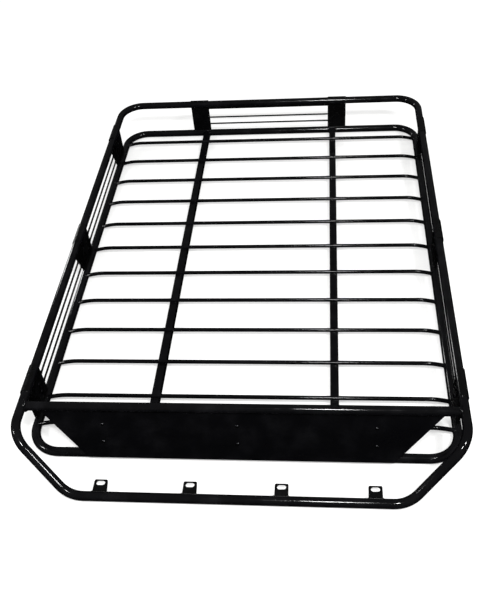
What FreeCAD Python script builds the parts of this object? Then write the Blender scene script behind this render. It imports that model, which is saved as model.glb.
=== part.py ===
import FreeCAD, Part
import math
import os
import Sketcher

# Roof basket for a vehicle, in millimetres: a welded steel tray of bent tube with a raised rail all
# round, a bar floor, pressed uprights, thin side rods, a sheet wind fairing at the front and a tube
# hoop ahead of it that carries four slotted lamp tabs.
# +X is the right-hand side, +Y the rear and +Z up. The tray stands on Z = 0, and the origin is under
# the middle of the whole length and width.

Vector = FreeCAD.Vector

doc = FreeCAD.newDocument("roof_basket")

# ---------------------------------------------------------------------------------------------
# Driving sizes
# ---------------------------------------------------------------------------------------------

sheet = doc.addObject("Spreadsheet::Sheet", "Sizes")

DRIVING_SIZES = [
    ("tube_diameter", 25.4, "outside of the ring, rail, hoop and fairing tubes"),
    ("tube_wall", 1.6, "wall of those tubes"),
    ("ring_width", 1150, "floor ring, axis to axis across the basket"),
    ("ring_length", 1542, "floor ring, axis to axis along the basket"),
    ("corner_radius", 80, "bend of the ring's and the rail's corners, on the axis"),
    ("corner_leg", 60, "straight end of a bent corner tube, past its bend"),
    ("rail_rise", 130, "ring axis up to the rail axis"),
    ("hoop_joint", 95, "hoop's rear ends, behind the ring's front axis"),
    ("hoop_corner", 37, "hoop's side bends, ahead of the ring's front axis"),
    ("hoop_inset", 143, "hoop's front corners, in from the rail axis"),
    ("hoop_radius", 80, "bend of the hoop, on the axis"),
    ("nose_reach", 133, "hoop's front bar, ahead of the ring's front axis"),
    ("cross_set_back", 55, "fairing tube, behind the ring's front axis"),
    ("floor_rail_size", 24, "outside of the square floor rails"),
    ("floor_rail_wall", 2, "wall of the floor rails"),
    ("floor_rail_corner", 2.5, "rounded edge of the floor rails"),
    ("floor_rail_spacing", 506, "between the two floor rails, axis to axis"),
    ("bar_diameter", 12, "floor crossbars, round rod"),
    ("bar_sink", 1, "depth of a crossbar's seat in the floor rails"),
    ("bar_bend_reach", 72, "start of a crossbar's end bend, in from the ring axis"),
    ("bar_end_rise", 5, "crossbar's end above the ring axis"),
    ("first_bar_gap", 6, "first crossbar, behind the front corners' bends"),
    ("second_bar_gap", 94, "second crossbar, behind the first"),
    ("last_bar_gap", 10, "last crossbar, ahead of the rear corners' bends"),
    ("upright_plate", 3, "thickness of the uprights"),
    ("upright_foot", 78, "side upright's raked front edge, ahead of its bolts at the ring"),
    ("upright_head", 130, "side upright's raked front edge, ahead of its bolts at the rail"),
    ("upright_square", 76, "front upright's square front edge, ahead of its bolts"),
    ("upright_rear", 33, "side upright's rear edge, behind its bolts"),
    ("front_station_gap", 93, "front uprights' bolts, behind the front corners' bends"),
    ("rear_station_gap", 166, "rear side uprights' bolts, ahead of the ring's rear axis"),
    ("middle_shift", 8, "middle uprights, behind halfway between the others"),
    ("strap_thickness", 2.5, "hook strap over the rail"),
    ("strap_front", 78, "strap's front edge, ahead of the bolts"),
    ("strap_rear", 14, "strap's rear edge, behind the bolts"),
    ("strap_overlap", 6, "strap's top edge, inboard of the rail's crest"),
    ("strap_foot", 24, "strap's lower edge, above the ring axis"),
    ("low_bolt", 41, "lower upright bolt, above the ring axis"),
    ("high_bolt", 72, "upper upright bolt, above the ring axis"),
    ("bolt_diameter", 8, "shank of the upright bolts"),
    ("bolt_clearance", 1, "upright bolt holes over the shank's diameter"),
    ("bolt_head_diameter", 15, "domed head of the upright bolts"),
    ("bolt_head_height", 4.4, "domed head of the upright bolts"),
    ("bolt_tail", 2, "thread past the nut"),
    ("nut_flats", 13, "hexagon of the nut, across its flats"),
    ("nut_height", 6.5, "nut"),
    ("nut_flange_diameter", 17, "flange under the nut's hexagon"),
    ("nut_flange_height", 1.6, "flange under the nut's hexagon"),
    ("side_rod_diameter", 6, "thin rods between the uprights"),
    ("low_side_rod", 50, "lower side rod, above the ring axis"),
    ("high_side_rod", 82, "upper side rod, above the ring axis"),
    ("low_rear_rod", 42, "lower rear rod, above the ring axis"),
    ("high_rear_rod", 71, "upper rear rod, above the ring axis"),
    ("rear_upright_width", 70, "rear upright across the basket"),
    ("rear_upright_shift", 17, "rear upright's middle, outboard of its floor rail"),
    ("rear_strip_height", 22, "strip under the rear rail, below the rail axis"),
    ("fairing_sheet", 2, "thickness of the wind fairing"),
    ("fairing_top_inset", 43, "fairing's upper corners, in from the rail axis"),
    ("fairing_bottom_inset", 171, "fairing's lower corners, in from the rail axis"),
    ("fairing_lap", 7, "fairing past its line of contact with the ring"),
    ("stay_width", 25, "flat stay behind the fairing"),
    ("stay_thickness", 3, "flat stay behind the fairing"),
    ("stay_inset", 45, "outer stays, in from the fairing's lower corners"),
    ("low_rivet", 40, "lower rivet, up the sheet from its contact with the ring"),
    ("high_rivet", 50, "upper rivet, down the sheet from the fairing tube's axis"),
    ("rivet_diameter", 4.8, "shank of the fairing rivets"),
    ("rivet_clearance", 0.2, "rivet holes over the shank's diameter"),
    ("rivet_head_diameter", 9, "domed head of the fairing rivets"),
    ("rivet_head_height", 2.4, "domed head of the fairing rivets"),
    ("tab_width", 35, "lamp tab"),
    ("tab_reach", 44, "lamp tab's tip, behind the hoop's front axis"),
    ("tab_thickness", 3, "lamp tab"),
    ("tab_top", 10, "lamp tab's upper face, above the hoop's front axis"),
    ("tab_corner", 4, "rounded tip corners of a lamp tab"),
    ("tab_cheek", 20, "depth at the bar of a lamp tab's tapered cheeks"),
    ("tab_end_gap", 79.5, "outer lamp tabs, in from the hoop's front corners"),
    ("slot_length", 23, "lamp slot, end to end"),
    ("slot_width", 13, "lamp slot"),
    ("slot_edge", 3.5, "lamp slot to the tab's tip"),
]

BAR_COUNT = 12
UPRIGHTS = ("front", "middle", "rear")
SIDES = (("left", -1), ("right", 1))
TAB_COUNT = 4
STAYS = (("left", -1), ("centre", 0), ("right", 1))

# Sizes that follow from the driving ones. Lengths along the basket start at the ring's front axis.
DERIVED_SIZES = [
    ("tube_radius", "=tube_diameter / 2"),
    ("tube_bore", "=tube_radius - tube_wall"),
    ("ring_half", "=ring_width / 2"),
    ("front_axis", "=(nose_reach - ring_length - strap_thickness) / 2"),
    ("rail_height", "=tube_radius + rail_rise"),
    ("leg_end", "=corner_radius + corner_leg"),
    ("rear_leg_end", "=ring_length - leg_end"),
    ("nose_half", "=ring_half - hoop_inset"),
    ("rail_half_spacing", "=floor_rail_spacing / 2"),
    ("bar_radius", "=bar_diameter / 2"),
    ("bar_height", "=floor_rail_size + bar_radius - bar_sink"),
    ("bar_end_drop", "=bar_height - tube_radius - bar_end_rise"),
    ("bar_end_run", "=bar_bend_reach - tube_bore / 2"),
    ("bar_bend_radius", "=0.9 * (bar_end_run ^ 2 + bar_end_drop ^ 2) / (2 * bar_end_drop)"),
    ("first_bar", "=corner_radius + first_bar_gap"),
    ("second_bar", "=first_bar + second_bar_gap"),
    ("last_bar", "=ring_length - corner_radius - last_bar_gap"),
    ("bar_pitch", "=(last_bar - second_bar) / %d" % (BAR_COUNT - 2)),
    ("front_station", "=corner_radius + front_station_gap"),
    ("rear_station", "=ring_length - rear_station_gap"),
    ("middle_station", "=(front_station + rear_station) / 2 + middle_shift"),
    ("upright_rake", "=(upright_head - upright_foot) / rail_rise"),
    ("bolt_hole_radius", "=(bolt_diameter + bolt_clearance) / 2"),
    ("rear_upright_middle", "=rail_half_spacing + rear_upright_shift"),
    ("rear_bay_half", "=rear_upright_middle - rear_upright_width / 2"),
    ("axis_distance", "=sqrt(cross_set_back ^ 2 + rail_rise ^ 2)"),
    ("contact_distance", "=sqrt(axis_distance ^ 2 - tube_radius ^ 2)"),
    ("fairing_tilt", "=atan(cross_set_back / rail_rise) + asin(tube_radius / axis_distance)"),
    ("fairing_top_half", "=ring_half - fairing_top_inset"),
    ("fairing_bottom_half", "=ring_half - fairing_bottom_inset"),
    ("stay_offset", "=fairing_bottom_half - stay_inset"),
    ("rivet_hole_radius", "=(rivet_diameter + rivet_clearance) / 2"),
    ("tab_spacing", "=2 * (nose_half - tab_end_gap) / %d" % (TAB_COUNT - 1)),
]


def fill_sheet():
    """Write the driving sizes as plain numbers, then the formulas, one alias to a row."""
    row = 0
    for alias, size, note in DRIVING_SIZES:
        row += 1
        sheet.set("A%d" % row, note)
        sheet.set("B%d" % row, str(size))
        sheet.setAlias("B%d" % row, alias)
    doc.recompute()
    for alias, formula in DERIVED_SIZES:
        row += 1
        sheet.set("A%d" % row, alias.replace("_", " "))
        sheet.set("B%d" % row, formula)
        sheet.setAlias("B%d" % row, alias)
        doc.recompute()


fill_sheet()


def number(expression):
    """Value of an expression in the sheet's aliases, for starting a sketch near its solution."""
    result = sheet.evalExpression(expression)
    return float(getattr(result, "Value", result))


def size(alias):
    """Value of one alias of the sheet."""
    return number("Sizes." + alias)


# ---------------------------------------------------------------------------------------------
# Sketches and features
# ---------------------------------------------------------------------------------------------

ORIGIN_POINT = (-1, 1)
START, END, CENTRE = 1, 2, 3

parts = {}


def new_body(label, across="0", along="0", up="0"):
    """Body whose origin is placed by three expressions; along counts from the ring's front axis."""
    body = doc.addObject("PartDesign::Body", label)
    body.Label = label
    body.setExpression("Placement.Base.x", across)
    body.setExpression("Placement.Base.y", "Sizes.front_axis + " + along)
    body.setExpression("Placement.Base.z", up)
    parts[label] = body
    return body


def new_sketch(body, name, role):
    """Sketch on one of the body's own origin planes."""
    sketch = body.newObject("Sketcher::SketchObject", body.Label + "_" + name)
    planes = [feature for feature in body.Origin.OriginFeatures if feature.Role == role]
    sketch.AttachmentSupport = [(planes[0], "")]
    sketch.MapMode = "FlatFace"
    return sketch


def bind(sketch, kind, places, expression):
    """Add a dimension to a sketch and tie it to an expression."""
    index = sketch.addConstraint(Sketcher.Constraint(kind, *places, number(expression)))
    sketch.setExpression("Constraints[%d]" % index, expression)


def bind_point(sketch, geometry, point, across, up):
    """Tie a point to the sketch's origin by its two signed distances."""
    bind(sketch, "DistanceX", ORIGIN_POINT + (geometry, point), across)
    bind(sketch, "DistanceY", ORIGIN_POINT + (geometry, point), up)


def add_circle(sketch, radius, across="0", up="0"):
    """Circle with a bound centre and radius."""
    centre = Vector(number(across), number(up), 0)
    circle = sketch.addGeometry(Part.Circle(centre, Vector(0, 0, 1), number(radius)))
    bind_point(sketch, circle, CENTRE, across, up)
    bind(sketch, "Radius", (circle,), radius)


def add_outline(sketch, corners):
    """Closed outline of straight sides through corners given as pairs of expressions."""
    points = [Vector(number(across), number(up), 0) for across, up in corners]
    count = len(points)
    lines = []
    for index in range(count):
        segment = Part.LineSegment(points[index], points[(index + 1) % count])
        lines.append(sketch.addGeometry(segment))
    for index in range(count):
        following = lines[(index + 1) % count]
        sketch.addConstraint(Sketcher.Constraint("Coincident", lines[index], END, following, START))
    for line, (across, up) in zip(lines, corners):
        bind_point(sketch, line, START, across, up)


def add_rectangle(sketch, left, right, bottom, top):
    """Rectangle between four bound sides."""
    add_outline(sketch, [(left, bottom), (right, bottom), (right, top), (left, top)])


def add_feature(body, kind, name, sketch):
    """Feature of a body that reads one sketch as its profile."""
    feature = body.newObject("PartDesign::" + kind, body.Label + "_" + name)
    feature.Profile = sketch
    return feature


def pad(body, sketch, length, symmetric=False, backwards=False):
    """Extrude a sketch by a bound length."""
    feature = add_feature(body, "Pad", sketch.Label.split("_")[-1] + "Pad", sketch)
    feature.SideType = "Symmetric" if symmetric else "One side"
    feature.Reversed = backwards
    feature.setExpression("Length", length)
    doc.recompute()
    return feature


def cut_through(body, sketch):
    """Cut a sketch right through the body both ways, and make sure that it took something away."""
    before = body.Shape.Volume
    feature = add_feature(body, "Pocket", sketch.Label.split("_")[-1] + "Cut", sketch)
    feature.SideType = "Symmetric"
    feature.Type = "ThroughAll"
    doc.recompute()
    if not body.Shape.Volume < before:
        raise RuntimeError("%s cut nothing" % feature.Label)
    return feature


def half_path(body, role, middle_up, end_across, end_up, radius, bend_at=None):
    """Path from the middle plane: a level run, an arc and a straight end to a bound point."""
    path = new_sketch(body, "path", role)
    height, reach, rise = number(middle_up), number(end_across), number(end_up)
    bend = number(radius)
    side = 1 if rise > height else -1
    if bend_at is None:
        arc_start, arc_end = Vector(reach - bend, height, 0), Vector(reach, height + side * bend, 0)
    else:
        arc_start = Vector(number(bend_at), height, 0)
        slope = math.atan2(abs(rise - height), reach - arc_start.x)
        arc_end = arc_start + Vector(bend * math.sin(slope), side * bend * (1 - math.cos(slope)), 0)
    turn = math.asin(min(1, (arc_end.x - arc_start.x) / bend))
    centre = Vector(arc_start.x, height + side * bend, 0)
    if side > 0:
        angles = (-math.pi / 2, -math.pi / 2 + turn)
        arc_first, arc_last = START, END
    else:
        angles = (math.pi / 2 - turn, math.pi / 2)
        arc_first, arc_last = END, START
    circle = Part.Circle(centre, Vector(0, 0, 1), bend)
    run = path.addGeometry(Part.LineSegment(Vector(0, height, 0), arc_start))
    arc = path.addGeometry(Part.ArcOfCircle(circle, *angles))
    tail = path.addGeometry(Part.LineSegment(arc_end, Vector(reach, rise, 0)))
    path.addConstraint(Sketcher.Constraint("Tangent", run, END, arc, arc_first))
    path.addConstraint(Sketcher.Constraint("Tangent", arc, arc_last, tail, START))
    path.addConstraint(Sketcher.Constraint("Horizontal", run))
    bind_point(path, run, START, "0", middle_up)
    bind_point(path, tail, END, end_across, end_up)
    bind(path, "Radius", (arc,), radius)
    if bend_at is None:
        path.addConstraint(Sketcher.Constraint("Vertical", tail))
    else:
        bind(path, "DistanceX", ORIGIN_POINT + (run, END), bend_at)
    return path


def sweep_and_mirror(body, profile, path):
    """Sweep a profile along a half path, and mirror it about the body's middle plane."""
    pipe = add_feature(body, "AdditivePipe", "Pipe", profile)
    pipe.Spine = (path, ["Edge1", "Edge2", "Edge3"])
    doc.recompute()
    half_volume = body.Shape.Volume
    mirror = body.newObject("PartDesign::Mirrored", body.Label + "_Mirror")
    planes = [feature for feature in body.Origin.OriginFeatures if feature.Role == "YZ_Plane"]
    mirror.Originals = [pipe]
    mirror.MirrorPlane = (planes[0], [""])
    body.Tip = mirror
    doc.recompute()
    if body.Shape.Volume < 1.99 * half_volume:
        raise RuntimeError("%s was not mirrored" % body.Label)


def add_tube_section(sketch, across="0", up="0"):
    """Outside and bore of the main tube."""
    add_circle(sketch, "Sizes.tube_radius", across, up)
    add_circle(sketch, "Sizes.tube_bore", across, up)


def place_feature(label, shape, placement):
    """Sub-part made by shape functions: its shape first, then its placement."""
    feature = doc.addObject("Part::Feature", label)
    feature.Label = label
    feature.Shape = shape
    feature.Placement = placement
    parts[label] = feature


# ---------------------------------------------------------------------------------------------
# Floor ring and upper rail: bent corner tubes joined by straight side tubes
# ---------------------------------------------------------------------------------------------


def corner_tube(label, bar, leg, up):
    """Tube with a bar across the basket and two legs bent along it."""
    body = new_body(label, up=up)
    path = half_path(body, "XY_Plane", bar, "Sizes.ring_half", leg, "Sizes.corner_radius")
    profile = new_sketch(body, "section", "YZ_Plane")
    add_tube_section(profile, bar, "0")
    sweep_and_mirror(body, profile, path)


def side_tube(label, side, start, end, up):
    """Straight tube along one side, butted to the corner tubes."""
    body = new_body(label, "%d * Sizes.ring_half" % side, start, up)
    profile = new_sketch(body, "section", "XZ_Plane")
    add_tube_section(profile)
    pad(body, profile, "%s - %s" % (end, start), backwards=True)


RING_UP = "Sizes.tube_radius"
RAIL_UP = "Sizes.rail_height"

corner_tube("ring_front_tube", "0", "Sizes.leg_end", RING_UP)
corner_tube("ring_rear_tube", "Sizes.ring_length", "Sizes.rear_leg_end", RING_UP)
corner_tube("rail_rear_tube", "Sizes.ring_length", "Sizes.rear_leg_end", RAIL_UP)
for side_name, side in SIDES:
    side_tube("ring_%s_tube" % side_name, side, "Sizes.leg_end", "Sizes.rear_leg_end", RING_UP)
    side_tube("rail_%s_tube" % side_name, side, "Sizes.hoop_joint", "Sizes.rear_leg_end", RAIL_UP)


# ---------------------------------------------------------------------------------------------
# Lamp hoop: carries the rail on past the fairing, turns in and down, and crosses at ring height
# ---------------------------------------------------------------------------------------------


def rounded_path(points, radius):
    """Wire of straight runs joined by tangent arcs of one radius at the inner points."""
    edges = []
    last = points[0]
    for before, corner, after in zip(points, points[1:], points[2:]):
        arriving = (corner - before).normalize()
        leaving = (after - corner).normalize()
        half_turn = arriving.getAngle(leaving) / 2
        arc_start = corner - arriving * (radius * math.tan(half_turn))
        arc_end = corner + leaving * (radius * math.tan(half_turn))
        inward = (leaving - arriving).normalize()
        arc_middle = corner + inward * (radius / math.cos(half_turn) - radius)
        edges.append(Part.LineSegment(last, arc_start).toShape())
        edges.append(Part.Arc(arc_start, arc_middle, arc_end).toShape())
        last = arc_end
    edges.append(Part.LineSegment(last, points[-1]).toShape())
    return Part.Wire(edges)


def swept_disc(path, radius, start, direction):
    """Solid of a disc carried along a path."""
    circle = Part.Wire([Part.makeCircle(radius, start, direction)])
    return path.makePipeShell([circle], True, False)


def lamp_hoop():
    """Hollow hoop along its rounded path, in place."""
    half, nose_half = size("ring_half"), size("nose_half")
    joint, corner, reach = size("hoop_joint"), size("hoop_corner"), size("nose_reach")
    rise = size("rail_rise")
    right_side = [
        Vector(nose_half, -reach, 0),
        Vector(half, -corner, rise),
        Vector(half, joint, rise),
    ]
    left_side = [Vector(-point.x, point.y, point.z) for point in reversed(right_side)]
    points = left_side + right_side
    path = rounded_path(points, size("hoop_radius"))
    forwards = Vector(0, -1, 0)
    outer = swept_disc(path, size("tube_radius"), points[0], forwards)
    bore = swept_disc(path, size("tube_bore"), points[0], forwards)
    placement = FreeCAD.Placement()
    placement.Base = Vector(0, size("front_axis"), size("tube_radius"))
    place_feature("lamp_hoop", outer.cut(bore), placement)


lamp_hoop()


# ---------------------------------------------------------------------------------------------
# Fairing tube: crosses between the rails, its ends coped to them
# ---------------------------------------------------------------------------------------------


def fairing_tube():
    """Straight tube along X, with both ends cut to the side tubes' round."""
    body = new_body("fairing_tube", "0", "Sizes.cross_set_back", RAIL_UP)
    profile = new_sketch(body, "section", "YZ_Plane")
    add_tube_section(profile)
    pad(body, profile, "Sizes.ring_width", symmetric=True)
    cope = new_sketch(body, "cope", "XZ_Plane")
    for _, side in SIDES:
        add_circle(cope, "Sizes.tube_radius", "%d * Sizes.ring_half" % side)
    cut_through(body, cope)


fairing_tube()


# ---------------------------------------------------------------------------------------------
# Floor: two square rails along the basket, with twelve bent rods seated across them
# ---------------------------------------------------------------------------------------------


def bar_position(index):
    """Crossbar's place along the basket: the first stands apart, the rest are evenly spaced."""
    if index == 0:
        return "Sizes.first_bar"
    return "Sizes.second_bar + %d * Sizes.bar_pitch" % (index - 1)


def floor_rail(label, side):
    """Square tube, coped to the ring at both ends and notched for the crossbars."""
    body = new_body(label, "%d * Sizes.rail_half_spacing" % side)
    profile = new_sketch(body, "section", "XZ_Plane")
    half = "Sizes.floor_rail_size / 2"
    wall = "Sizes.floor_rail_wall"
    top = "Sizes.floor_rail_size"
    add_rectangle(profile, "-" + half, half, "0", top)
    inner_half = "(%s - %s)" % (half, wall)
    add_rectangle(profile, "-" + inner_half, inner_half, wall, "%s - %s" % (top, wall))
    tube = pad(body, profile, "Sizes.ring_length", backwards=True)
    round_long_edges(body, tube)
    cope = new_sketch(body, "cope", "YZ_Plane")
    for end in ("0", "Sizes.ring_length"):
        add_circle(cope, "Sizes.tube_radius", end, "Sizes.tube_radius")
    cut_through(body, cope)
    seats = new_sketch(body, "seats", "YZ_Plane")
    for index in range(BAR_COUNT):
        add_circle(seats, "Sizes.bar_radius", bar_position(index), "Sizes.bar_height")
    cut_through(body, seats)


def round_long_edges(body, tube):
    """Round the four outer edges that run the length of a square tube."""
    half_width = size("floor_rail_size") / 2
    middle = body.Placement.Base.x
    names = []
    for index, edge in enumerate(tube.Shape.Edges):
        ends = [vertex.Point for vertex in edge.Vertexes]
        runs_along = abs(ends[0].y - ends[-1].y) > 1
        outer = all(abs(abs(point.x) - half_width) < 0.01 for point in ends)
        if runs_along and outer:
            names.append("Edge%d" % (index + 1))
    if len(names) != 4:
        raise RuntimeError("%s at %g has %d outer edges" % (body.Label, middle, len(names)))
    fillet = body.newObject("PartDesign::Fillet", body.Label + "_Round")
    fillet.Base = (tube, names)
    fillet.setExpression("Radius", "Sizes.floor_rail_corner")
    doc.recompute()


def crossbar(index):
    """Rod across the floor, its ends bent down and cut to the ring's side tubes."""
    body = new_body("crossbar_%02d" % (index + 1), "0", bar_position(index))
    path = half_path(
        body,
        "XZ_Plane",
        "Sizes.bar_height",
        "Sizes.ring_half - Sizes.tube_bore / 2",
        "Sizes.tube_radius + Sizes.bar_end_rise",
        "Sizes.bar_bend_radius",
        "Sizes.ring_half - Sizes.bar_bend_reach",
    )
    profile = new_sketch(body, "section", "YZ_Plane")
    add_circle(profile, "Sizes.bar_radius", "0", "Sizes.bar_height")
    sweep_and_mirror(body, profile, path)
    cope = new_sketch(body, "cope", "XZ_Plane")
    for _, side in SIDES:
        add_circle(cope, "Sizes.tube_radius", "%d * Sizes.ring_half" % side, "Sizes.tube_radius")
    cut_through(body, cope)


for side_name, side in SIDES:
    floor_rail("floor_rail_%s" % side_name, side)
for bar_index in range(BAR_COUNT):
    crossbar(bar_index)


# ---------------------------------------------------------------------------------------------
# Uprights: pressed plates between ring and rail, with hook straps over the rail
# ---------------------------------------------------------------------------------------------


def side_upright(label, side, station, foot, head):
    """Plate along the side, coped to both tubes and drilled for two bolts."""
    across = "%d * Sizes.ring_half" % side
    body = new_body(label, across, station, "Sizes.tube_radius")
    outline = new_sketch(body, "plate", "YZ_Plane")
    corners = [
        ("-" + foot, "0"),
        ("Sizes.upright_rear", "0"),
        ("Sizes.upright_rear", "Sizes.rail_rise"),
        ("-" + head, "Sizes.rail_rise"),
    ]
    add_outline(outline, corners)
    pad(body, outline, "Sizes.upright_plate", symmetric=True)
    cope = new_sketch(body, "cope", "XZ_Plane")
    for height in ("0", "Sizes.rail_rise"):
        add_circle(cope, "Sizes.tube_radius", "0", height)
    cut_through(body, cope)
    holes = new_sketch(body, "holes", "YZ_Plane")
    for height in ("Sizes.low_bolt", "Sizes.high_bolt"):
        add_circle(holes, "Sizes.bolt_hole_radius", "0", height)
    cut_through(body, holes)


def add_strap_outline(sketch, side):
    """Hook round the rail's outer side: two arcs on the rail axis, and a leg down the plate.

    side is -1 where the basket's outside is towards the sketch's negative axis, and 1 where it is
    towards the positive one.
    """
    inner = size("tube_radius")
    outer = inner + size("strap_thickness")
    rise = size("rail_rise")
    near, far = size("upright_plate") / 2, size("upright_plate") / 2 + size("strap_thickness")
    overlap = size("strap_overlap")
    foot = size("strap_foot")
    axis = Vector(0, rise, 0)
    top_angle = math.acos(-side * overlap / inner)
    near_angle = math.asin(near / inner)
    far_angle = math.asin(far / outer)
    if side < 0:
        inner_angles = (top_angle, 1.5 * math.pi - near_angle)
        outer_angles = (top_angle, 1.5 * math.pi - far_angle)
        top, bottom = START, END
    else:
        inner_angles = (-0.5 * math.pi + near_angle, top_angle)
        outer_angles = (-0.5 * math.pi + far_angle, top_angle)
        top, bottom = END, START
    up = Vector(0, 0, 1)
    inner_arc = sketch.addGeometry(Part.ArcOfCircle(Part.Circle(axis, up, inner), *inner_angles))
    outer_arc = sketch.addGeometry(Part.ArcOfCircle(Part.Circle(axis, up, outer), *outer_angles))
    near_top = Vector(side * near, rise - inner * math.cos(near_angle), 0)
    far_top = Vector(side * far, rise - outer * math.cos(far_angle), 0)
    near_foot, far_foot = Vector(side * near, foot, 0), Vector(side * far, foot, 0)
    lip_inner = axis + Vector(inner * math.cos(top_angle), inner * math.sin(top_angle), 0)
    lip_outer = axis + Vector(outer * math.cos(top_angle), outer * math.sin(top_angle), 0)
    near_line = sketch.addGeometry(Part.LineSegment(near_top, near_foot))
    foot_line = sketch.addGeometry(Part.LineSegment(near_foot, far_foot))
    far_line = sketch.addGeometry(Part.LineSegment(far_foot, far_top))
    lip = sketch.addGeometry(Part.LineSegment(lip_outer, lip_inner))
    joints = [
        (inner_arc, bottom, near_line, START),
        (near_line, END, foot_line, START),
        (foot_line, END, far_line, START),
        (far_line, END, outer_arc, bottom),
        (outer_arc, top, lip, START),
        (lip, END, inner_arc, top),
    ]
    for joint in joints:
        sketch.addConstraint(Sketcher.Constraint("Coincident", *joint))
    for arc in (inner_arc, outer_arc):
        bind_point(sketch, arc, CENTRE, "0", "Sizes.rail_rise")
    bind(sketch, "Radius", (inner_arc,), "Sizes.tube_radius")
    bind(sketch, "Radius", (outer_arc,), "Sizes.tube_radius + Sizes.strap_thickness")
    sketch.addConstraint(Sketcher.Constraint("Vertical", near_line))
    sketch.addConstraint(Sketcher.Constraint("Vertical", far_line))
    sketch.addConstraint(Sketcher.Constraint("Horizontal", foot_line))
    near_side = "%d * Sizes.upright_plate / 2" % side
    far_side = "%d * (Sizes.upright_plate / 2 + Sizes.strap_thickness)" % side
    bind_point(sketch, foot_line, START, near_side, "Sizes.strap_foot")
    bind(sketch, "DistanceX", ORIGIN_POINT + (foot_line, END), far_side)
    bind(sketch, "DistanceX", ORIGIN_POINT + (lip, END), "%d * Sizes.strap_overlap" % -side)
    sketch.addConstraint(Sketcher.Constraint("PointOnObject", outer_arc, CENTRE, lip))


def side_strap(label, station):
    """Left-hand strap: hook outline carried along the rail, drilled for the upright's bolts."""
    start = "%s - Sizes.strap_front" % station
    body = new_body(label, "-Sizes.ring_half", start, "Sizes.tube_radius")
    outline = new_sketch(body, "hook", "XZ_Plane")
    add_strap_outline(outline, -1)
    pad(body, outline, "Sizes.strap_front + Sizes.strap_rear", backwards=True)
    holes = new_sketch(body, "holes", "YZ_Plane")
    for height in ("Sizes.low_bolt", "Sizes.high_bolt"):
        add_circle(holes, "Sizes.bolt_hole_radius", "Sizes.strap_front", height)
    cut_through(body, holes)
    return body


def mirror_to_right(label, source):
    """Right-hand twin of a left-hand sub-part."""
    twin = doc.addObject("Part::Mirroring", label)
    twin.Label = label
    twin.Source = source
    twin.Base = Vector(0, 0, 0)
    twin.Normal = Vector(1, 0, 0)
    doc.recompute()
    parts[label] = twin


def rear_upright(label, side):
    """One pressed piece: a coped plate, with its own hook over the rear rail."""
    across = "%d * Sizes.rear_upright_middle" % side
    body = new_body(label, across, "Sizes.ring_length", "Sizes.tube_radius")
    outline = new_sketch(body, "plate", "YZ_Plane")
    half = "Sizes.upright_plate / 2"
    add_rectangle(outline, "-" + half, half, "0", "Sizes.rail_rise")
    pad(body, outline, "Sizes.rear_upright_width", symmetric=True)
    cope = new_sketch(body, "cope", "YZ_Plane")
    for height in ("0", "Sizes.rail_rise"):
        add_circle(cope, "Sizes.tube_radius", "0", height)
    cut_through(body, cope)
    hook = new_sketch(body, "hook", "YZ_Plane")
    add_strap_outline(hook, 1)
    pad(body, hook, "Sizes.rear_upright_width", symmetric=True)


for upright_name in UPRIGHTS:
    station_cell = "Sizes.%s_station" % upright_name
    if upright_name == "front":
        front_edge = ("Sizes.upright_square", "Sizes.upright_square")
    else:
        front_edge = ("Sizes.upright_foot", "Sizes.upright_head")
    for side_name, side in SIDES:
        side_upright("upright_%s_%s" % (side_name, upright_name), side, station_cell, *front_edge)
    left_strap = side_strap("strap_left_%s" % upright_name, station_cell)
    mirror_to_right("strap_right_%s" % upright_name, left_strap)
for side_name, side in SIDES:
    rear_upright("rear_upright_%s" % side_name, side)


# ---------------------------------------------------------------------------------------------
# Side and rear rods, and the strip under the rear rail
# ---------------------------------------------------------------------------------------------


def side_rod(label, side, start, station, level):
    """Rod back from an upright's rear edge, its end cut to the next upright's raked front edge."""
    up = "Sizes.tube_radius + " + level
    body = new_body(label, "%d * Sizes.ring_half" % side, start, up)
    section = new_sketch(body, "section", "XZ_Plane")
    add_circle(section, "Sizes.side_rod_diameter / 2")
    edge = "(Sizes.upright_foot + Sizes.upright_rake * %s)" % level
    length = "(%s - %s - (%s))" % (station, edge, start)
    slack = "Sizes.upright_rake * Sizes.side_rod_diameter"
    pad(body, section, "%s + %s" % (length, slack), backwards=True)
    bevel = new_sketch(body, "bevel", "YZ_Plane")
    corners = [
        ("%s + %s" % (length, slack), "-Sizes.side_rod_diameter"),
        ("%s + %s" % (length, slack), "Sizes.side_rod_diameter"),
        ("%s - %s" % (length, slack), "Sizes.side_rod_diameter"),
    ]
    add_outline(bevel, corners)
    cut_through(body, bevel)


def side_rods():
    """Two rods in each bay between neighbouring uprights, on both sides."""
    for ahead, behind in zip(UPRIGHTS, UPRIGHTS[1:]):
        start = "Sizes.%s_station + Sizes.upright_rear" % ahead
        station = "Sizes.%s_station" % behind
        bay = "front" if ahead == UPRIGHTS[0] else "rear"
        for side_name, side in SIDES:
            for level in ("low", "high"):
                label = "side_rod_%s_%s_%s" % (side_name, bay, level)
                side_rod(label, side, start, station, "Sizes.%s_side_rod" % level)


def rear_rods():
    """Two plain rods between the rear uprights."""
    for level in ("low", "high"):
        rod = doc.addObject("Part::Cylinder", "rear_rod_%s" % level)
        rod.Label = "rear_rod_%s" % level
        rod.Placement = FreeCAD.Placement(Vector(), FreeCAD.Rotation(Vector(0, 1, 0), 90))
        rod.setExpression("Radius", "Sizes.side_rod_diameter / 2")
        rod.setExpression("Height", "2 * Sizes.rear_bay_half")
        rod.setExpression("Placement.Base.x", "-Sizes.rear_bay_half")
        rod.setExpression("Placement.Base.y", "Sizes.front_axis + Sizes.ring_length")
        rod.setExpression("Placement.Base.z", "Sizes.tube_radius + Sizes.%s_rear_rod" % level)
        parts[rod.Label] = rod


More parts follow.
